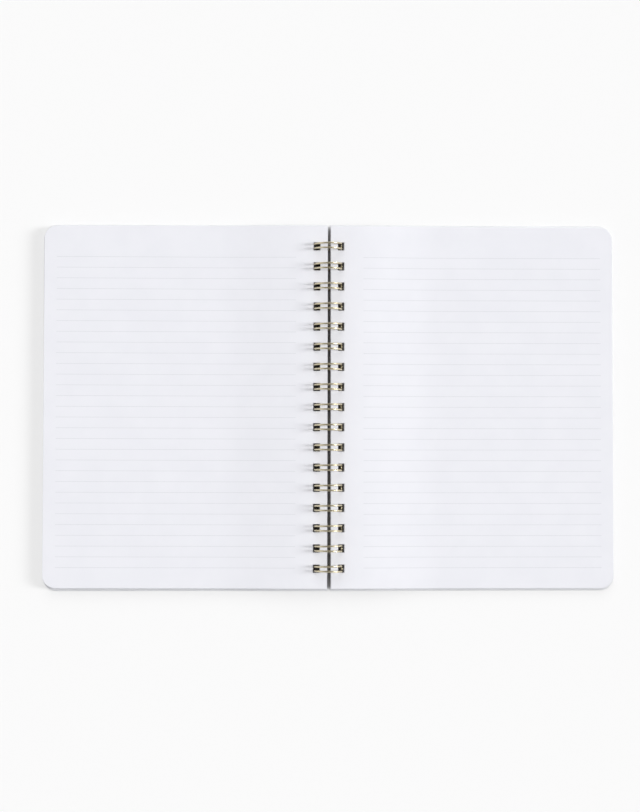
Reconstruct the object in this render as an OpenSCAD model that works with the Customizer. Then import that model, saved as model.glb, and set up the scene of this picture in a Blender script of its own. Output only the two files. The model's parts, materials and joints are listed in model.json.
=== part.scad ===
// Wire-bound notebook, lying open on a table.
// Millimetres, +Z up. X runs across the open pages, Y along the spine, and the head of the pages is at +Y.
// The origin is on the table, straight under the middle of the binding.

/* [Pages] */
// Width of a leaf, from its spine edge to its fore-edge
page_w = 178.5; // [120:0.1:230]
// Height of a leaf, from foot to head
page_h = 228.3; // [150:0.1:300]
// Radius of a leaf's two outer corners
page_corner_r = 8; // [3:0.5:20]
// Thickness of the leaves turned to the left
left_leaves_t = 5; // [1:0.1:5]
// Thickness of the leaves still on the right
right_leaves_t = 3.4; // [1:0.1:4]
// Angle by which the left leaves lie turned from the spine, in degrees
left_turn = 0.15; // [0:0.01:0.15]

/* [Covers] */
// Thickness of a cover board
cover_t = 1.3; // [0.6:0.05:1.4]
// How much wider a cover is than a leaf
cover_extra_w = 1.6; // [0.5:0.1:6]
// How far the covers stand past the leaves at head and foot
cover_head_overhang = 1.6; // [0.5:0.1:6]
// Radius of a cover's two outer corners
cover_corner_r = 9; // [3:0.5:20]
// Distance from a cover's spine edge to its holes
cover_hole_margin = 3.5; // [3:0.05:3.6]
// How high the covers ride up over the rings
cover_rise = 2.8; // [2.6:0.05:2.8]
// Distance from the spine at which the covers leave the table
ramp_far_x = 70; // [30:1:110]
// Distance from the spine at which the covers are level again, over the rings
ramp_near_x = 14; // [12:1:25]

/* [Holes] */
// Distance between the middles of two holes
hole_pitch = 12.7; // [9:0.1:20]
// Width of a hole, across the spine
hole_w = 4.1; // [3.8:0.1:5]
// Height of a hole, along the spine
hole_h = 5.3; // [4.6:0.1:6.5]
// Distance from a leaf's spine edge to its holes
leaf_hole_margin = 4.75; // [3:0.05:5]
// Least distance from the head or the foot of a leaf to the middle of a hole
hole_end_margin = 12; // [8:0.5:30]

/* [Binding wire] */
// Thickness of the wire
wire_d = 1.1; // [0.8:0.05:1.3]
// Inner diameter of the closed rings
ring_inner_d = 15.9; // [14.3:0.1:22]
// Angle by which the two legs of a ring spread towards its closed nose, in degrees
leg_spread = 1.2; // [0:0.1:2]
// Bend radius of the wire where a leg turns along the spine
root_bend_r = 0.9; // [0.7:0.05:1.5]
// Length of the cut end at the head and at the foot of the wire
wire_end_l = 1.2; // [0.5:0.1:4]

/* [Clearances] */
// Between the outside of the rings and the far edge of the left leaves' holes
left_hole_clear = 0.35; // [0.3:0.05:1]
// Between the outside of the rings and the far edge of the right leaves' holes
right_hole_clear = 1.6; // [0.3:0.05:2]
// Between the inside of the rings and the near edge of the back cover's holes
back_hole_clear = 0.2; // [0.1:0.05:0.6]
// Between the outside of the rings and the far edge of the front cover's holes
front_hole_clear = 0.15; // [0.1:0.05:0.3]
// Between a leg of a ring and the nearer end of a hole
leg_clear = 0.42; // [0.2:0.02:0.6]
// Between the leaves and the cover that they lie on
leaf_seat = 0.1; // [0.05:0.05:0.3]
// Between the wire along the spine and the board and the leaves that hold it
wire_seat = 0.06; // [0.06:0.02:0.3]

/* [Hidden] */

wire_r = wire_d / 2;
ring_r = ring_inner_d / 2 + wire_r;
ring_outer_r = ring_r + wire_r;
// The rings stand on the table, so their axis is as high as their outer radius.
axis_z = ring_outer_r;

loop_steps = floor((page_h - 2 * hole_end_margin) / hole_pitch);
loop_ys = [for (i = [0 : loop_steps]) (i - loop_steps / 2) * hole_pitch];

// The rings set where the holes of the leaves lie, and so where their spine edges lie.
left_edge_x = ring_outer_r + left_hole_clear - hole_w - leaf_hole_margin;
right_edge_x = ring_outer_r + right_hole_clear - hole_w - leaf_hole_margin;
cover_w = page_w + cover_extra_w;
cover_h = page_h + 2 * cover_head_overhang;

// The back cover hangs drawn out, with the wire just inside the near edge of its holes at its underside.
back_hole_x = sqrt(pow(ring_inner_d / 2, 2) - pow(axis_z - cover_rise, 2)) - back_hole_clear;
// The front cover hangs drawn in, with the wire just inside the far edge of its holes at its upper side.
front_hole_x = sqrt(pow(ring_outer_r, 2) - pow(axis_z - cover_rise - cover_t, 2))
    + front_hole_clear - hole_w;
// The right leaves ride up further, over the wire that runs along the spine on the back cover.
root_lift = wire_d + 2 * wire_seat - leaf_seat;

// The legs stand apart by half_legs each side of a loop's middle, straight over the axis.
nose_r = hole_h / 2 - leg_clear - wire_r;
half_legs = nose_r - ring_r * sin(leg_spread);

// Angle, below the level of the axis, at which a leg turns along the spine.
root_z = cover_rise + cover_t + wire_seat + wire_r;
root_angle = atan(root_bend_r / ring_r)
    + asin((axis_z - root_z) / sqrt(pow(ring_r, 2) + pow(root_bend_r, 2)));
// A leg ends here, and leans by root_lean out of the plane across the spine.
root_end = [
    ring_r * cos(root_angle) * cos(leg_spread),
    half_legs + ring_r * cos(root_angle) * sin(leg_spread),
    axis_z - ring_r * sin(root_angle)
];
root_lean = asin(sin(root_angle) * sin(leg_spread));
root_tilt = atan2(cos(root_angle), sin(root_angle) * cos(leg_spread));
bend_forward = root_bend_r * (1 - sin(root_lean));
bend_aside = root_bend_r * cos(root_lean);
run_x = root_end[0] + bend_forward * cos(root_tilt);
run_z = root_end[2] + bend_forward * sin(root_tilt);
run_start_y = root_end[1] + bend_aside;

// Each two pieces of the wire meet inside a ball that stands this little proud of it.
joint_proud = 0.03;
joint_gap = 0.16;

ramp_steps = 20;
round_fn = 64;
wire_fn = 24;
ring_fn = 96;
overcut = 1;

cover_colour = [0.90, 0.90, 0.88];
leaf_colour = [0.95, 0.95, 0.97];
wire_colour = [0.83, 0.75, 0.50];

// Share of the full rise at distance x from the spine: 1 over the rings, 0 out on the table.
function rise_share(x) =
    let (s = max(0, min(1, (ramp_far_x - x) / (ramp_far_x - ramp_near_x))))
    s * s * (3 - 2 * s);

// Points at which a bent sheet from near_x to far_x changes its slope.
function ramp_xs(near_x, far_x) = concat(
    [near_x],
    [for (i = [0 : ramp_steps]) ramp_near_x + (ramp_far_x - ramp_near_x) * i / ramp_steps],
    [far_x]
);

// Outline of a sheet seen along the spine: it starts near the rings, lifted, and comes down to lie flat.
module sheet_section(near_x, far_x, base_z, thickness, rise) {
    xs = ramp_xs(near_x, far_x);
    under = [for (x = xs) [x, base_z + rise * rise_share(x)]];
    over = [for (i = [len(xs) - 1 : -1 : 0]) under[i] + [0, thickness]];
    polygon(concat(under, over));
}

// Outline of a sheet seen from above: square corners at the spine, round ones at the fore-edge.
module sheet_outline(near_x, far_x, height, corner_r) {
    translate([near_x, -height / 2])
        square([far_x - near_x - corner_r, height]);
    translate([near_x, -height / 2 + corner_r])
        square([far_x - near_x, height - 2 * corner_r]);
    for (side = [-1, 1])
        translate([far_x - corner_r, side * (height / 2 - corner_r)])
            circle(r = corner_r, $fn = round_fn);
}

module hole_row(hole_x) {
    for (y = loop_ys)
        translate([hole_x, y - hole_h / 2])
            square([hole_w, hole_h]);
}

// A punched board or block of leaves, on the right-hand side of the spine.
module punched_sheet(near_x, far_x, height, corner_r, hole_x, base_z, thickness, rise) {
    intersection() {
        rotate([90, 0, 0])
            linear_extrude(height = height + 2 * overcut, center = true)
                sheet_section(near_x, far_x, base_z, thickness, rise);
        translate([0, 0, base_z - overcut])
            linear_extrude(height = rise + thickness + 2 * overcut)
                difference() {
                    sheet_outline(near_x, far_x, height, corner_r);
                    hole_row(hole_x);
                }
    }
}

module cover_board(hole_x) {
    edge_x = hole_x - cover_hole_margin;
    punched_sheet(edge_x, edge_x + cover_w, cover_h, cover_corner_r, hole_x, 0, cover_t, cover_rise);
}

module leaf_block(edge_x, thickness, rise) {
    punched_sheet(edge_x, edge_x + page_w, page_h, page_corner_r, edge_x + leaf_hole_margin,
        cover_t + leaf_seat, thickness, rise);
}

module front_cover() {
    color(cover_colour) mirror([1, 0, 0]) cover_board(front_hole_x);
}

module back_cover() {
    color(cover_colour) cover_board(back_hole_x);
}

module left_leaves() {
    color(leaf_colour)
        rotate([0, 0, -left_turn])
            mirror([1, 0, 0])
                leaf_block(left_edge_x, left_leaves_t, cover_rise);
}

module right_leaves() {
    color(leaf_colour) leaf_block(right_edge_x, right_leaves_t, cover_rise + root_lift);
}

// A round wire bent to bend_r through an angle, from the X axis towards Y, and cut just short at both ends.
module wire_arc(bend_r, angle) {
    short = joint_gap / 2 / bend_r * 180 / PI;
    rotate([0, 0, short])
        rotate_extrude(angle = angle - 2 * short, $fn = ring_fn)
            translate([bend_r, 0])
                circle(r = wire_r, $fn = wire_fn);
}

module wire_joint(at) {
    translate(at) sphere(r = wire_r + joint_proud, $fn = wire_fn);
}

// One leg: from the nose at axis height, over the top, round under the covers and up to its root.
module loop_leg() {
    translate([0, half_legs, axis_z])
        rotate([0, 0, leg_spread])
            rotate([90, 0, 0])
                wire_arc(ring_r, 360 - root_angle);
}

// The bend that turns a leg's root along the spine.
module root_bend() {
    translate(root_end)
        rotate([0, -root_tilt, 0])
            translate([-root_bend_r * sin(root_lean), bend_aside, 0])
                rotate([0, 0, root_lean - 90])
                    wire_arc(root_bend_r, 90 - root_lean);
}

// The round nose that joins the two legs, hanging in the right leaves' hole.
module loop_nose() {
    translate([ring_r * cos(leg_spread), 0, axis_z])
        rotate([90, 0, 90])
            rotate([0, 0, 180])
                wire_arc(nose_r, 180);
}

module wire_loop() {
    loop_nose();
    for (side = [0, 1])
        mirror([0, side, 0]) {
            wire_joint([ring_r * cos(leg_spread), nose_r, axis_z]);
            loop_leg();
            wire_joint(root_end);
            root_bend();
            wire_joint([run_x, run_start_y, run_z]);
        }
}

// Straight wire along the spine, on the back cover, between the ends of two bends.
module spine_run(from_y, to_y) {
    translate([run_x, from_y + joint_gap / 2, run_z])
        rotate([-90, 0, 0])
            cylinder(h = to_y - from_y - joint_gap, r = wire_r, $fn = wire_fn);
}

module binding_wire() {
    color(wire_colour) {
        for (y = loop_ys)
            translate([0, y, 0]) wire_loop();
        for (i = [1 : loop_steps])
            spine_run(loop_ys[i - 1] + run_start_y, loop_ys[i] - run_start_y);
        for (side = [0, 1])
            mirror([0, side, 0])
                spine_run(loop_ys[loop_steps] + run_start_y,
                    loop_ys[loop_steps] + run_start_y + wire_end_l);
    }
}

front_cover();
back_cover();
left_leaves();
right_leaves();
binding_wire();
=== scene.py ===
"""An open wire-bound notebook: two boards, two stacks of ruled leaves and a gold twin-loop wire."""
import json
import math
import random
from collections import namedtuple

import bmesh
import bpy
from mathutils import Matrix, Vector


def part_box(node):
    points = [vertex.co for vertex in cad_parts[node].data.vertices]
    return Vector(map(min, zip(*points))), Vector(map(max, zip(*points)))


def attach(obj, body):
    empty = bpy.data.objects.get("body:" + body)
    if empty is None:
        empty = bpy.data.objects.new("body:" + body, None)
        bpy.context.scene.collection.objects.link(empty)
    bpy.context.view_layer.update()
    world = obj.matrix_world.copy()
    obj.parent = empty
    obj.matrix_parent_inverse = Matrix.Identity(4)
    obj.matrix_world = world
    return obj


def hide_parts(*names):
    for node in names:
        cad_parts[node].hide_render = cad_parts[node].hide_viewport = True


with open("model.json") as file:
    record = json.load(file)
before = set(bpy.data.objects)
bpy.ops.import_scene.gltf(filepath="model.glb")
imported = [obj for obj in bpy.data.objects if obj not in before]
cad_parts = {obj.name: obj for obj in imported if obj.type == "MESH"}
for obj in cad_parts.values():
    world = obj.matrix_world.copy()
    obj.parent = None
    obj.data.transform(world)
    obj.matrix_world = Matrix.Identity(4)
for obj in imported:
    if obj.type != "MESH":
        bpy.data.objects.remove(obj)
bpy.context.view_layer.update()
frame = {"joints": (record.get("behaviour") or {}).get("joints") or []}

MM = 0.001

# Sizes that the frame gives
COVER_TOP_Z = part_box("back_cover")[1].z
LEFT_TOP_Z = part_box("left_leaves")[1].z
RIGHT_LOW, RIGHT_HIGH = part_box("right_leaves")
WIRE_TOP_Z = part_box("binding_wire")[1].z
AXIS_Z = frame["joints"][0]["pos_m"][2]

# Covers
COVER_T = 1.3 * MM
COVER_CORNER_R = 9 * MM
COVER_RISE = COVER_TOP_Z - COVER_T
COVER_ROUNDING = 0.22 * MM
# The least bend that is rounded
ROUNDED_FROM = math.radians(40)
# How much narrower the front board is than its solid, so that the leaves cover its fore-edge
FRONT_TRIM = 0.6 * MM

# Leaves
PAGE_W = RIGHT_HIGH.x - RIGHT_LOW.x
PAGE_H = RIGHT_HIGH.y - RIGHT_LOW.y
PAGE_CORNER_R = 8 * MM
LEAF_SEAT = 0.1 * MM
LEAF_BASE_Z = COVER_T + LEAF_SEAT
LEFT_T = 5.0 * MM
RIGHT_T = 3.4 * MM
LEFT_COUNT = 48
RIGHT_COUNT = 32
LEFT_EDGE_X = 0.55 * MM
RIGHT_EDGE_X = RIGHT_LOW.x
LEFT_TURN = math.radians(0.15)
LEFT_RISE = LEFT_TOP_Z - LEAF_BASE_Z - LEFT_T
RIGHT_RISE = RIGHT_HIGH.z - LEAF_BASE_Z - RIGHT_T
# How much of a leaf's share of the stack is paper, and how far it may lie off the others
PAPER_SHARE = 0.86
LEAF_STRAY = 0.16 * MM

# Where sheets leave the table and where they are level again, over the rings
RAMP_FAR_X = 70 * MM
RAMP_NEAR_X = 14 * MM
RAMP_STEPS = 16

# Holes: their height, and how far from a sheet's spine edge they begin and how wide they are
LOOP_COUNT = 17
HOLE_PITCH = 12.7 * MM
LOOP_YS = [(i - (LOOP_COUNT - 1) / 2) * HOLE_PITCH for i in range(LOOP_COUNT)]
HOLE_H = 5.3 * MM
COVER_HOLE_MARGIN, COVER_HOLE_W = 3.5 * MM, 4.9 * MM
LEFT_HOLE_MARGIN, LEFT_HOLE_W = 4.45 * MM, 4.5 * MM
RIGHT_HOLE_MARGIN, RIGHT_HOLE_W = 4.35 * MM, 4.15 * MM

# Binding wire
WIRE_R = 0.55 * MM
RING_R = WIRE_TOP_Z - AXIS_Z - WIRE_R
LEG_SPREAD = math.radians(1.2)
LEG_CLEAR = 0.42 * MM
WIRE_SEAT = 0.06 * MM
BEND_R = 0.9 * MM
WIRE_END = 1.2 * MM
WIRE_SIDES = 14

# Steps of what is round, and the sharpest bends that are still shaded smooth
CORNER_STEPS = 10
ROUNDING_STEPS = 3
LEG_STEPS = 72
NOSE_STEPS = 16
BEND_STEPS = 5
SHEET_SMOOTH = math.radians(30)
WIRE_SMOOTH = math.radians(50)

# Axes: across the spine and along it
ACROSS, ALONG = 0, 1

# How near points lie to a cut, or to each other, to count as one
ON_CUT = 1e-7
SAME_POINT = 1e-6

# Ruling, and the ink's place among a leaf's materials
INK_SLOT = 1
RULE_COUNT = 30
RULE_PITCH = 6.755 * MM
RULE_W = 0.25 * MM
LEFT_RULE_TOP = 19.5 * MM
RIGHT_RULE_TOP = 19.45 * MM
LEFT_RULE_SPAN = (19.9 * MM, PAGE_W - 7.75 * MM)
RIGHT_RULE_SPAN = (20.5 * MM, PAGE_W - 7.2 * MM)

# Noise: detail of the clouds and of the fibres, and how rough the fibres are
CLOUD_DETAIL = 3
FIBRE_DETAIL = 6
FIBRE_ROUGHNESS = 0.7
# Where between 0 and 1 the clouds turn from the darker to the lighter colour
CLOUD_FROM, CLOUD_TO = 0.35, 0.65
TOOTH_STRENGTH = 0.5
DULL_SPECULAR = 0.3

# Paper and board: lighter and darker colour, scales of the clouds and the fibres, roughness, and tooth
PAGE_PAPER = ((0.885, 0.888, 0.935), (0.868, 0.872, 0.92), 60, 2500, 0.85, 0.02 * MM)
RULING_INK = ((0.745, 0.755, 0.795), (0.705, 0.715, 0.755), 900, 2500, 0.8, 0.02 * MM)
COVER_BOARD = ((0.85, 0.855, 0.88), (0.83, 0.835, 0.86), 90, 1400, 0.7, 0.05 * MM)
CUT_FIBRES = (300, 1800, 0.9, 0.03 * MM)
PAPER_EDGE = (0.80, 0.80, 0.82)
BOARD_EDGE = (0.84, 0.84, 0.85)

# Places of the Mix node's two colours and of its result among its sockets
MIX_A, MIX_B, MIX_RESULT = 6, 7, 2

# Painted shade on the punched edges in the holes and along the spine, how far from the spine it reaches,
# and how far short of head and foot it stops
PAINTED_EDGE_SHADE = (0.31, 0.27, 0.24)
SHADED_REACH = 12 * MM
PALE_END = 1 * MM

# Gold: lighter and darker colour, scales of the clouds and the fibres, least and greatest roughness
GOLD_LIGHT = (0.74, 0.67, 0.475)
GOLD_DARK = (0.58, 0.505, 0.34)
GOLD_SCALES = (420, 2600)
GOLD_ROUGHNESS = (0.20, 0.36)

# Camera
VIEW_AIM = Vector((-5.11, 0.76, 8)) * MM
VIEW_DISTANCE = 1376 * MM
VIEW_TILTS = (math.radians(2.05), math.radians(-1.46), 0)
PIXELS_TALL = 812
FOCAL_PIXELS = 2183
SENSOR = 36
CLIP_START = 10 * MM

# Lamps: azimuth, elevation and spread in degrees, share of white on a level surface, glints or not
LAMPS = {
    "key_lamp_low": (1.5, 23.5, 12, 0.110, True),
    "key_lamp_middle": (1.5, 30.5, 12, 0.110, True),
    "key_lamp_high": (1.5, 37.5, 12, 0.110, True),
    "head_lamp": (95, 46, 50, 0.21, False),
    "fill_lamp": (182, 42, 70, 0.105, False),
}

WHITE = (1, 1, 1, 1)

# World: its strength, and the part of it that is left overhead, as scattered light and where it is seen
WORLD_SCATTERED, WORLD_SEEN = 0.36, 0.965
OVERHEAD_SCATTERED, OVERHEAD_SEEN = 0.9, 0.06
OVERHEAD_FROM, OVERHEAD_TO = 0.45, 0.8

# Floor: its radius and sides, its colour for scattered light and as it is seen, and its lift
FLOOR_R = 6
FLOOR_SIDES = 64
FLOOR_BOUNCE = (0.75, 0.75, 0.76, 1)
FLOOR_SHOWN = (0.47, 0.47, 0.47, 1)
FLOOR_LIFT = 0.50
# How open the floor is where the lift begins and where it is full, and how far round that is felt
COVERED, OPEN = 0.35, 0.49
OPENNESS_REACH = 20 * MM


# What sets the two stacks of leaves apart
Stack = namedtuple(
    "Stack", "side edge_x hole_margin hole_w turn rise thickness count finishes rule_span rule_top")


def deselect():
    bpy.ops.object.select_all(action="DESELECT")


def make_active(obj):
    deselect()
    obj.select_set(True)
    bpy.context.view_layer.objects.active = obj


def name_piece(name):
    """Gives the primitive that was just added its name."""
    obj = bpy.context.object
    obj.name = name
    obj.data.name = name
    return obj


def select_parts(obj, kind, wanted):
    """In edit mode, selects only the verts, edges or faces that wanted() says yes to."""
    mesh = bmesh.from_edit_mesh(obj.data)
    for part in list(mesh.verts) + list(mesh.edges) + list(mesh.faces):
        part.select = False
    for part in getattr(mesh, kind):
        if wanted(part):
            part.select_set(True)
    bmesh.update_edit_mesh(obj.data)


def cut_at(axis, place):
    """Cuts what is selected by a plane across an axis."""
    normal = Vector((0, 0, 0))
    normal[axis] = 1
    bpy.ops.mesh.bisect(plane_co=normal * place, plane_no=normal, threshold=ON_CUT)


def apply_modifiers(obj):
    make_active(obj)
    for modifier in list(obj.modifiers):
        bpy.ops.object.modifier_apply(modifier=modifier.name)


def rise_share(x):
    """1 over the rings, 0 out on the table, and a smooth slope between them."""
    share = (RAMP_FAR_X - x) / (RAMP_FAR_X - RAMP_NEAR_X)
    share = max(0.0, min(1.0, share))
    return share * share * (3 - 2 * share)


def flat_sheet(name, edge_x, width, height, corner_r):
    """A flat sheet to the right of the spine, with two round corners, left in edit mode."""
    deselect()
    bpy.ops.mesh.primitive_plane_add(size=1, location=(0, 0, 0))
    sheet = name_piece(name)
    bpy.ops.object.mode_set(mode="EDIT")
    bpy.ops.mesh.select_all(action="SELECT")
    bpy.ops.transform.resize(value=(width, height, 1))
    bpy.ops.transform.translate(value=(edge_x + width / 2, 0, 0))
    select_parts(sheet, "verts", lambda v: v.co.x > edge_x + width / 2)
    bpy.ops.mesh.bevel(offset=corner_r, segments=CORNER_STEPS, affect="VERTICES")
    return sheet


def punch_holes(sheet, near_x, width):
    """Cuts the row of holes out of a flat sheet."""
    far_x = near_x + width
    for x in (near_x, far_x):
        bpy.ops.mesh.select_all(action="SELECT")
        cut_at(ACROSS, x)
    for y in LOOP_YS:
        for edge in (y - HOLE_H / 2, y + HOLE_H / 2):
            select_parts(sheet, "faces", lambda f: near_x < f.calc_center_median().x < far_x)
            cut_at(ALONG, edge)

    def in_hole(face):
        centre = face.calc_center_median()
        across = near_x < centre.x < far_x
        return across and any(abs(centre.y - y) < HOLE_H / 2 for y in LOOP_YS)

    select_parts(sheet, "faces", in_hole)
    bpy.ops.mesh.delete(type="FACE")


def cut_ramp():
    """Gives a flat sheet the creases between which it bends."""
    for i in range(RAMP_STEPS + 1):
        bpy.ops.mesh.select_all(action="SELECT")
        cut_at(ACROSS, RAMP_NEAR_X + (RAMP_FAR_X - RAMP_NEAR_X) * i / RAMP_STEPS)


def rule_lines(sheet, edge_x, span, top_margin, height):
    """Cuts the ruled lines into a flat sheet as narrow faces with the ink's material."""
    start, end = (edge_x + s for s in span)
    lines = [height / 2 - top_margin - i * RULE_PITCH for i in range(RULE_COUNT)]
    for x in (start, end):
        bpy.ops.mesh.select_all(action="SELECT")
        cut_at(ACROSS, x)
    for line in lines:
        for y in (line - RULE_W / 2, line + RULE_W / 2):
            bpy.ops.mesh.select_all(action="SELECT")
            cut_at(ALONG, y)

    def on_line(face):
        centre = face.calc_center_median()
        return start < centre.x < end and any(abs(centre.y - y) < RULE_W / 2 for y in lines)

    select_parts(sheet, "faces", on_line)
    sheet.active_material_index = INK_SLOT
    bpy.ops.object.material_slot_assign()


def raise_sheet(sheet, side, turn, base_z, rise, thickness):
    """Bends the flat sheet up to the rings, moves it to its side and gives it its thickness.

    Its cut edges take the last of its materials."""
    bpy.ops.object.mode_set(mode="OBJECT")
    across = Matrix.Scale(side, 4, (1, 0, 0))
    turned = Matrix.Rotation(turn, 4, "Z")
    for vertex in sheet.data.vertices:
        vertex.co.z = base_z + rise * rise_share(vertex.co.x)
    sheet.data.transform(turned @ across)
    if side < 0:
        sheet.data.flip_normals()
    solidify = sheet.modifiers.new("thickness", "SOLIDIFY")
    solidify.thickness = thickness
    solidify.offset = 1
    solidify.material_offset_rim = len(sheet.data.materials) - 1
    apply_modifiers(sheet)


def finish_shading(obj, angle):
    make_active(obj)
    bpy.ops.object.shade_smooth_by_angle(angle=angle)


def shader(name):
    """A new node material, with its nodes, its links and its Principled BSDF."""
    material = bpy.data.materials.new(name)
    material.use_nodes = True
    nodes = material.node_tree.nodes
    return material, nodes, material.node_tree.links, nodes["Principled BSDF"]


def fibre_group():
    """Paper fibres: a mask that clouds the colour and a fine height."""
    group = bpy.data.node_groups.new("paper_fibre", "ShaderNodeTree")
    for label in ("Cloud Scale", "Fibre Scale"):
        group.interface.new_socket(label, in_out="INPUT", socket_type="NodeSocketFloat")
    for label in ("Cloud", "Height"):
        group.interface.new_socket(label, in_out="OUTPUT", socket_type="NodeSocketFloat")
    nodes, links = group.nodes, group.links
    inputs = nodes.new("NodeGroupInput")
    outputs = nodes.new("NodeGroupOutput")
    place = nodes.new("ShaderNodeTexCoord")
    cloud = nodes.new("ShaderNodeTexNoise")
    cloud.inputs["Detail"].default_value = CLOUD_DETAIL
    fibre = nodes.new("ShaderNodeTexNoise")
    fibre.inputs["Detail"].default_value = FIBRE_DETAIL
    fibre.inputs["Roughness"].default_value = FIBRE_ROUGHNESS
    for noise, label in ((cloud, "Cloud Scale"), (fibre, "Fibre Scale")):
        links.new(place.outputs["Object"], noise.inputs["Vector"])
        links.new(inputs.outputs[label], noise.inputs["Scale"])
    links.new(cloud.outputs["Fac"], outputs.inputs["Cloud"])
    links.new(fibre.outputs["Fac"], outputs.inputs["Height"])
    return group


def shade_group():
    """Shade on a sheet's cut edges: dark in the holes and along the spine, where little light comes."""
    group = bpy.data.node_groups.new("edge_shade", "ShaderNodeTree")
    group.interface.new_socket("Pale", in_out="INPUT", socket_type="NodeSocketColor")
    group.interface.new_socket("Tone", in_out="OUTPUT", socket_type="NodeSocketColor")
    nodes, links = group.nodes, group.links
    inputs = nodes.new("NodeGroupInput")
    outputs = nodes.new("NodeGroupOutput")
    place = nodes.new("ShaderNodeTexCoord")
    parts = nodes.new("ShaderNodeSeparateXYZ")
    outside = nodes.new("ShaderNodeMath")
    outside.operation = "MAXIMUM"
    links.new(place.outputs["Object"], parts.inputs[0])
    for axis, reach in enumerate((SHADED_REACH, PAGE_H / 2 - PALE_END)):
        size = nodes.new("ShaderNodeMath")
        size.operation = "ABSOLUTE"
        past = nodes.new("ShaderNodeMath")
        past.operation = "GREATER_THAN"
        past.inputs[1].default_value = reach
        links.new(parts.outputs[axis], size.inputs[0])
        links.new(size.outputs[0], past.inputs[0])
        links.new(past.outputs[0], outside.inputs[axis])
    # Painted shade: the dark colour on the edges near the spine and in the holes, the pale colour
    # elsewhere
    tone = nodes.new("ShaderNodeMix")
    tone.data_type = "RGBA"
    tone.inputs[MIX_A].default_value = (*PAINTED_EDGE_SHADE, 1)
    links.new(inputs.outputs["Pale"], tone.inputs[MIX_B])
    links.new(outside.outputs[0], tone.inputs["Factor"])
    links.new(tone.outputs[MIX_RESULT], outputs.inputs["Tone"])
    return group


def add_grain(nodes, fibre, cloud_scale, fibre_scale):
    grain = nodes.new("ShaderNodeGroup")
    grain.node_tree = fibre
    grain.inputs["Cloud Scale"].default_value = cloud_scale
    grain.inputs["Fibre Scale"].default_value = fibre_scale
    return grain


def add_ramp(nodes, dark, light):
    ramp = nodes.new("ShaderNodeValToRGB")
    ramp.color_ramp.elements[0].color = (*dark, 1)
    ramp.color_ramp.elements[1].color = (*light, 1)
    return ramp


def toothed(name, fibre, cloud_scale, fibre_scale, roughness, tooth):
    """A dull material with the fibres' fine tooth, its colour still to come, and its grain."""
    material, nodes, links, principled = shader(name)
    grain = add_grain(nodes, fibre, cloud_scale, fibre_scale)
    bump = nodes.new("ShaderNodeBump")
    bump.inputs["Strength"].default_value = TOOTH_STRENGTH
    bump.inputs["Distance"].default_value = tooth
    links.new(grain.outputs["Height"], bump.inputs["Height"])
    links.new(bump.outputs["Normal"], principled.inputs["Normal"])
    principled.inputs["Roughness"].default_value = roughness
    principled.inputs["Specular IOR Level"].default_value = DULL_SPECULAR
    return material, nodes, links, principled, grain


def fibrous(name, fibre, light, dark, cloud_scale, fibre_scale, roughness, tooth):
    """Paper or board: clouded between two near colours."""
    material, nodes, links, principled, grain = toothed(
        name, fibre, cloud_scale, fibre_scale, roughness, tooth)
    ramp = add_ramp(nodes, dark, light)
    ramp.color_ramp.elements[0].position = CLOUD_FROM
    ramp.color_ramp.elements[1].position = CLOUD_TO
    links.new(grain.outputs["Cloud"], ramp.inputs["Fac"])
    links.new(ramp.outputs["Color"], principled.inputs["Base Color"])
    return material


def cut_edge(name, fibre, shade, pale):
    """A sheet's cut edges: one pale colour, shaded round the spine."""
    material, nodes, links, principled, _ = toothed(name, fibre, *CUT_FIBRES)
    edge = nodes.new("ShaderNodeGroup")
    edge.node_tree = shade
    edge.inputs["Pale"].default_value = (*pale, 1)
    links.new(edge.outputs["Tone"], principled.inputs["Base Color"])
    return material


def gold_lacquer(fibre):
    """Pale gold lacquered wire, faintly drawn and clouded."""
    material, nodes, links, principled = shader("gold_lacquer")
    grain = add_grain(nodes, fibre, *GOLD_SCALES)
    ramp = add_ramp(nodes, GOLD_DARK, GOLD_LIGHT)
    rough = nodes.new("ShaderNodeMapRange")
    rough.inputs["To Min"].default_value, rough.inputs["To Max"].default_value = GOLD_ROUGHNESS
    links.new(grain.outputs["Cloud"], ramp.inputs["Fac"])
    links.new(ramp.outputs["Color"], principled.inputs["Base Color"])
    links.new(grain.outputs["Height"], rough.inputs["Value"])
    links.new(rough.outputs["Result"], principled.inputs["Roughness"])
    principled.inputs["Metallic"].default_value = 1
    return material


def cover(name, node, side, finishes, trim=0):
    """A punched board with softened edges, in place of its CAD solid."""
    low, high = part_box(node)
    edge_x = min(abs(low.x), abs(high.x))
    board = flat_sheet(name, edge_x, high.x - low.x - trim, high.y - low.y, COVER_CORNER_R)
    for finish in finishes:
        board.data.materials.append(finish)
    punch_holes(board, edge_x + COVER_HOLE_MARGIN, COVER_HOLE_W)
    cut_ramp()
    raise_sheet(board, side, 0, 0, COVER_RISE, COVER_T)
    rounding = board.modifiers.new("rounding", "BEVEL")
    rounding.width = COVER_ROUNDING
    rounding.segments = ROUNDING_STEPS
    rounding.limit_method = "ANGLE"
    rounding.angle_limit = ROUNDED_FROM
    apply_modifiers(board)
    finish_shading(board, SHEET_SMOOTH)
    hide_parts(node)
    return board


def leaf(name, stack, base_z, thickness, ruled):
    """One punched leaf of a stack, plain or ruled on both faces."""
    sheet = flat_sheet(name, stack.edge_x, PAGE_W, PAGE_H, PAGE_CORNER_R)
    for finish in stack.finishes:
        sheet.data.materials.append(finish)
    punch_holes(sheet, stack.edge_x + stack.hole_margin, stack.hole_w)
    cut_ramp()
    if ruled:
        rule_lines(sheet, stack.edge_x, stack.rule_span, stack.rule_top, PAGE_H)
    raise_sheet(sheet, stack.side, stack.turn, base_z, stack.rise, thickness)
    return sheet


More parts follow.
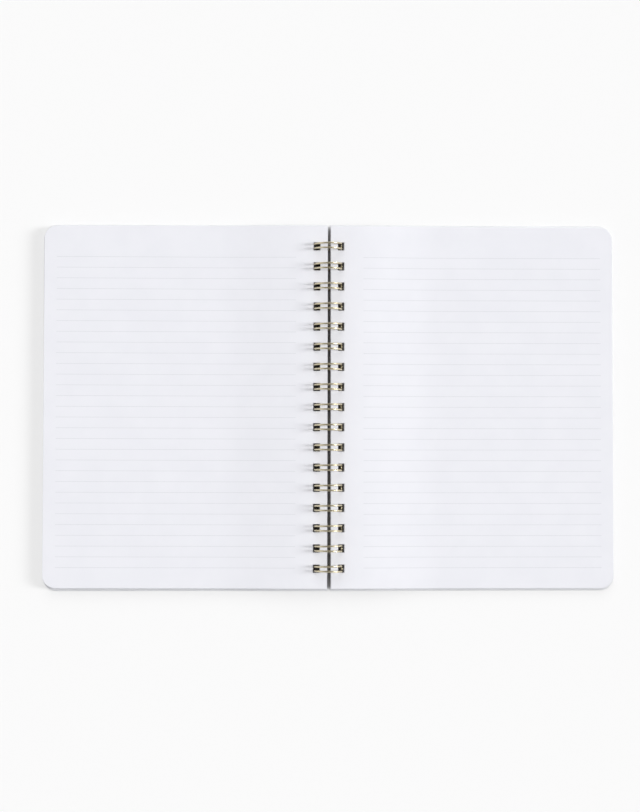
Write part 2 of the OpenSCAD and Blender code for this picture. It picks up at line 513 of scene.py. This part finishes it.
def leaf_stack(name, node, stack):
    """A stack of separate leaves; the top one and the bottom one show their ruling."""
    step = stack.thickness / stack.count
    paper_t = step * PAPER_SHARE
    inner_count = stack.count - 2
    strays = random.Random(name)

    inner = leaf(name, stack, LEAF_BASE_Z + step, paper_t, ruled=False)
    per_leaf = len(inner.data.vertices)
    array = inner.modifiers.new("leaves", "ARRAY")
    array.count = inner_count
    array.use_relative_offset = False
    array.use_constant_offset = True
    array.constant_offset_displace = (0, 0, step)
    apply_modifiers(inner)
    for i in range(inner_count):
        stray = Vector((strays.uniform(-1, 1), strays.uniform(-1, 1), 0)) * LEAF_STRAY
        for vertex in inner.data.vertices[i * per_leaf:(i + 1) * per_leaf]:
            vertex.co += stray

    first = leaf(name + "_first", stack, LEAF_BASE_Z, paper_t, ruled=True)
    last = leaf(name + "_last", stack, LEAF_BASE_Z + (stack.count - 1) * step, paper_t, ruled=True)
    deselect()
    for sheet in (first, last, inner):
        sheet.select_set(True)
    bpy.context.view_layer.objects.active = inner
    bpy.ops.object.join()
    finish_shading(inner, SHEET_SMOOTH)
    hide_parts(node)
    return inner


def spin(angle, steps, centre, axis):
    """Sweeps the selected end of the wire round an axis, by the right-hand rule."""
    bpy.ops.mesh.spin(steps=steps, angle=-angle, center=centre, axis=axis)


def run_along(distance):
    """Sweeps the selected end of the wire along the spine."""
    bpy.ops.mesh.extrude_region_move(TRANSFORM_OT_translate={"value": (0, distance, 0)})


def binding_wire(finish):
    """The twin-loop wire: one loop swept from run to run, repeated, and cut off at head and foot."""
    up = Vector((0, 0, 1))
    nose_r = HOLE_H / 2 - LEG_CLEAR - WIRE_R
    half_legs = nose_r - RING_R * math.sin(LEG_SPREAD)
    root_z = COVER_RISE + COVER_T + WIRE_SEAT + WIRE_R
    root_angle = math.atan(BEND_R / RING_R) + math.asin((AXIS_Z - root_z) / math.hypot(RING_R, BEND_R))
    out = RING_R * math.cos(root_angle)
    root = Vector((
        out * math.cos(LEG_SPREAD),
        half_legs + out * math.sin(LEG_SPREAD),
        AXIS_Z - RING_R * math.sin(root_angle),
    ))
    lean = math.asin(math.sin(root_angle) * math.sin(LEG_SPREAD))
    tilt = math.atan2(math.cos(root_angle), math.sin(root_angle) * math.cos(LEG_SPREAD))
    bend_x = Vector((math.cos(tilt), 0, math.sin(tilt)))
    bend_z = Vector((-math.sin(tilt), 0, math.cos(tilt)))
    bend_centre = root - bend_x * BEND_R * math.sin(lean) + Vector((0, BEND_R * math.cos(lean), 0))
    run = bend_centre + bend_x * BEND_R
    half_run = HOLE_PITCH / 2 - run.y
    leg_turn = 2 * math.pi - root_angle

    def mirrored(point):
        return Vector((point.x, -point.y, point.z))

    deselect()
    bpy.ops.mesh.primitive_circle_add(
        vertices=WIRE_SIDES, radius=WIRE_R, fill_type="NOTHING",
        location=(run.x, -HOLE_PITCH / 2, run.z), rotation=(math.pi / 2, 0, 0))
    wire = name_piece("wire")
    bpy.ops.object.transform_apply(location=True, rotation=True, scale=True)
    bpy.ops.object.mode_set(mode="EDIT")
    bpy.ops.mesh.select_all(action="SELECT")
    run_along(half_run)
    spin(math.pi / 2 - lean, BEND_STEPS, mirrored(bend_centre), bend_z)
    near = Vector((math.cos(LEG_SPREAD), -math.sin(LEG_SPREAD), 0))
    spin(leg_turn, LEG_STEPS, (0, -half_legs, AXIS_Z), up.cross(near))
    spin(math.pi, NOSE_STEPS, (RING_R * math.cos(LEG_SPREAD), 0, AXIS_Z), (1, 0, 0))
    far = mirrored(near)
    spin(leg_turn, LEG_STEPS, (0, half_legs, AXIS_Z), -up.cross(far))
    spin(math.pi / 2 - lean, BEND_STEPS, bend_centre, bend_z)
    run_along(half_run)
    bpy.ops.mesh.select_all(action="SELECT")
    bpy.ops.mesh.remove_doubles(threshold=SAME_POINT)
    bpy.ops.mesh.normals_make_consistent(inside=False)
    bpy.ops.object.mode_set(mode="OBJECT")

    wire.data.transform(Matrix.Translation((0, LOOP_YS[0], 0)))
    array = wire.modifiers.new("loops", "ARRAY")
    array.count = LOOP_COUNT
    array.use_relative_offset = False
    array.use_constant_offset = True
    array.constant_offset_displace = (0, HOLE_PITCH, 0)
    array.use_merge_vertices = True
    array.merge_threshold = SAME_POINT
    apply_modifiers(wire)
    bpy.ops.object.mode_set(mode="EDIT")
    for side in (-1, 1):
        bpy.ops.mesh.select_all(action="SELECT")
        place = side * (LOOP_YS[-1] + run.y + WIRE_END)
        bpy.ops.mesh.bisect(
            plane_co=(0, place, 0), plane_no=(0, side, 0),
            clear_outer=True, use_fill=True, threshold=ON_CUT)
    bpy.ops.mesh.select_all(action="SELECT")
    bpy.ops.mesh.normals_make_consistent(inside=False)
    bpy.ops.object.mode_set(mode="OBJECT")
    finish_shading(wire, WIRE_SMOOTH)
    wire.data.materials.append(finish)
    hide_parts("binding_wire")
    return wire


def seen_directly(nodes, links):
    """1 for camera, glossy and transmission rays, 0 for the light that surfaces scatter."""
    path = nodes.new("ShaderNodeLightPath")
    seen = path.outputs["Is Camera Ray"]
    for ray in ("Is Glossy Ray", "Is Transmission Ray"):
        either = nodes.new("ShaderNodeMath")
        either.operation = "MAXIMUM"
        links.new(seen, either.inputs[0])
        links.new(path.outputs[ray], either.inputs[1])
        seen = either.outputs[0]
    return seen


def floor():
    """A wide pale floor that keeps the notebook's shadow.

    Where it is seen it is lifted towards white, but not where the notebook covers it: in the holes
    and in the gap at the spine."""
    deselect()
    bpy.ops.mesh.primitive_circle_add(
        vertices=FLOOR_SIDES, radius=FLOOR_R, fill_type="NGON", location=(0, 0, 0))
    ground = name_piece("floor")
    material, nodes, links, principled = shader("floor_white")
    nodes.remove(principled)
    bounce = nodes.new("ShaderNodeBsdfDiffuse")
    bounce.inputs["Color"].default_value = FLOOR_BOUNCE
    shown = nodes.new("ShaderNodeBsdfDiffuse")
    shown.inputs["Color"].default_value = FLOOR_SHOWN
    lift = nodes.new("ShaderNodeEmission")
    lift.inputs["Color"].default_value = WHITE
    openness = nodes.new("ShaderNodeAmbientOcclusion")
    openness.inputs["Distance"].default_value = OPENNESS_REACH
    uncovered = nodes.new("ShaderNodeMapRange")
    uncovered.inputs["From Min"].default_value = COVERED
    uncovered.inputs["From Max"].default_value = OPEN
    uncovered.inputs["To Max"].default_value = FLOOR_LIFT
    links.new(openness.outputs["AO"], uncovered.inputs["Value"])
    links.new(uncovered.outputs["Result"], lift.inputs["Strength"])
    lifted = nodes.new("ShaderNodeAddShader")
    links.new(shown.outputs[0], lifted.inputs[0])
    links.new(lift.outputs[0], lifted.inputs[1])
    either = nodes.new("ShaderNodeMixShader")
    links.new(seen_directly(nodes, links), either.inputs["Fac"])
    links.new(bounce.outputs[0], either.inputs[1])
    links.new(lifted.outputs[0], either.inputs[2])
    links.new(either.outputs[0], nodes["Material Output"].inputs["Surface"])
    ground.data.materials.append(material)


def light_world():
    """An even dim light all round; what is seen of it is white, and darker overhead."""
    world = bpy.data.worlds.new("studio")
    bpy.context.scene.world = world
    world.use_nodes = True
    nodes, links = world.node_tree.nodes, world.node_tree.links
    background = nodes["Background"]
    background.inputs["Color"].default_value = WHITE
    direction = nodes.new("ShaderNodeTexCoord")
    parts = nodes.new("ShaderNodeSeparateXYZ")
    links.new(direction.outputs["Generated"], parts.inputs[0])
    overhead = nodes.new("ShaderNodeMapRange")
    overhead.inputs["From Min"].default_value = OVERHEAD_FROM
    overhead.inputs["From Max"].default_value = OVERHEAD_TO
    overhead.inputs["To Min"].default_value = 1
    links.new(parts.outputs["Z"], overhead.inputs["Value"])
    seen = seen_directly(nodes, links)
    zenith = nodes.new("ShaderNodeMapRange")
    zenith.inputs["To Min"].default_value = OVERHEAD_SCATTERED
    zenith.inputs["To Max"].default_value = OVERHEAD_SEEN
    links.new(seen, zenith.inputs["Value"])
    links.new(zenith.outputs["Result"], overhead.inputs["To Max"])
    level = nodes.new("ShaderNodeMapRange")
    level.inputs["To Min"].default_value = WORLD_SCATTERED
    level.inputs["To Max"].default_value = WORLD_SEEN
    links.new(seen, level.inputs["Value"])
    strength = nodes.new("ShaderNodeMath")
    strength.operation = "MULTIPLY"
    links.new(overhead.outputs["Result"], strength.inputs[0])
    links.new(level.outputs["Result"], strength.inputs[1])
    links.new(strength.outputs[0], background.inputs["Strength"])


def far_lamp(name, azimuth, elevation, spread, share, glints):
    """An even lamp, spread wide in the sky, that gives a level white surface share of white."""
    azimuth, elevation = math.radians(azimuth), math.radians(elevation)
    lamp = bpy.data.lights.new(name, "SUN")
    lamp.angle = math.radians(spread)
    lamp.energy = share * math.pi / math.sin(elevation)
    holder = bpy.data.objects.new(name, lamp)
    bpy.context.scene.collection.objects.link(holder)
    direction = Vector((
        math.cos(elevation) * math.cos(azimuth),
        math.cos(elevation) * math.sin(azimuth),
        math.sin(elevation),
    ))
    holder.location = direction
    holder.rotation_euler = direction.to_track_quat("Z", "Y").to_euler()
    holder.visible_glossy = glints


def camera():
    """Looks down on the pages from just below and to the left of their middle."""
    view = bpy.data.cameras.new("camera")
    view.sensor_fit = "VERTICAL"
    view.sensor_height = SENSOR
    view.lens = SENSOR * FOCAL_PIXELS / PIXELS_TALL
    view.clip_start = CLIP_START
    holder = bpy.data.objects.new("camera", view)
    bpy.context.scene.collection.objects.link(holder)
    holder.rotation_euler = VIEW_TILTS
    holder.location = VIEW_AIM + holder.rotation_euler.to_matrix() @ Vector((0, 0, VIEW_DISTANCE))
    bpy.context.scene.camera = holder


camera()

fibre = fibre_group()
shade = shade_group()
paper = fibrous("page_paper", fibre, *PAGE_PAPER)
ink = fibrous("ruling_ink", fibre, *RULING_INK)
paper_edge = cut_edge("paper_edge", fibre, shade, PAPER_EDGE)
board = fibrous("cover_board", fibre, *COVER_BOARD)
board_edge = cut_edge("board_edge", fibre, shade, BOARD_EDGE)
gold = gold_lacquer(fibre)

front = cover("front_board", "front_cover", -1, (board, board_edge), FRONT_TRIM)
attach(front, "front_cover")
back = cover("back_board", "back_cover", 1, (board, board_edge))
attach(back, "back_half")

left_stack = Stack(
    side=-1, edge_x=LEFT_EDGE_X, hole_margin=LEFT_HOLE_MARGIN, hole_w=LEFT_HOLE_W, turn=-LEFT_TURN,
    rise=LEFT_RISE, thickness=LEFT_T, count=LEFT_COUNT, finishes=(paper, ink, paper_edge),
    rule_span=LEFT_RULE_SPAN, rule_top=LEFT_RULE_TOP)
left = leaf_stack("left_sheets", "left_leaves", left_stack)
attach(left, "left_leaves")
right_stack = Stack(
    side=1, edge_x=RIGHT_EDGE_X, hole_margin=RIGHT_HOLE_MARGIN, hole_w=RIGHT_HOLE_W, turn=0,
    rise=RIGHT_RISE, thickness=RIGHT_T, count=RIGHT_COUNT, finishes=(paper, ink, paper_edge),
    rule_span=RIGHT_RULE_SPAN, rule_top=RIGHT_RULE_TOP)
right = leaf_stack("right_sheets", "right_leaves", right_stack)
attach(right, "right_leaves")

wire = binding_wire(gold)
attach(wire, "back_half")

floor()
light_world()
for name, lamp in LAMPS.items():
    far_lamp(name, *lamp)
bpy.context.scene.view_settings.view_transform = "Standard"
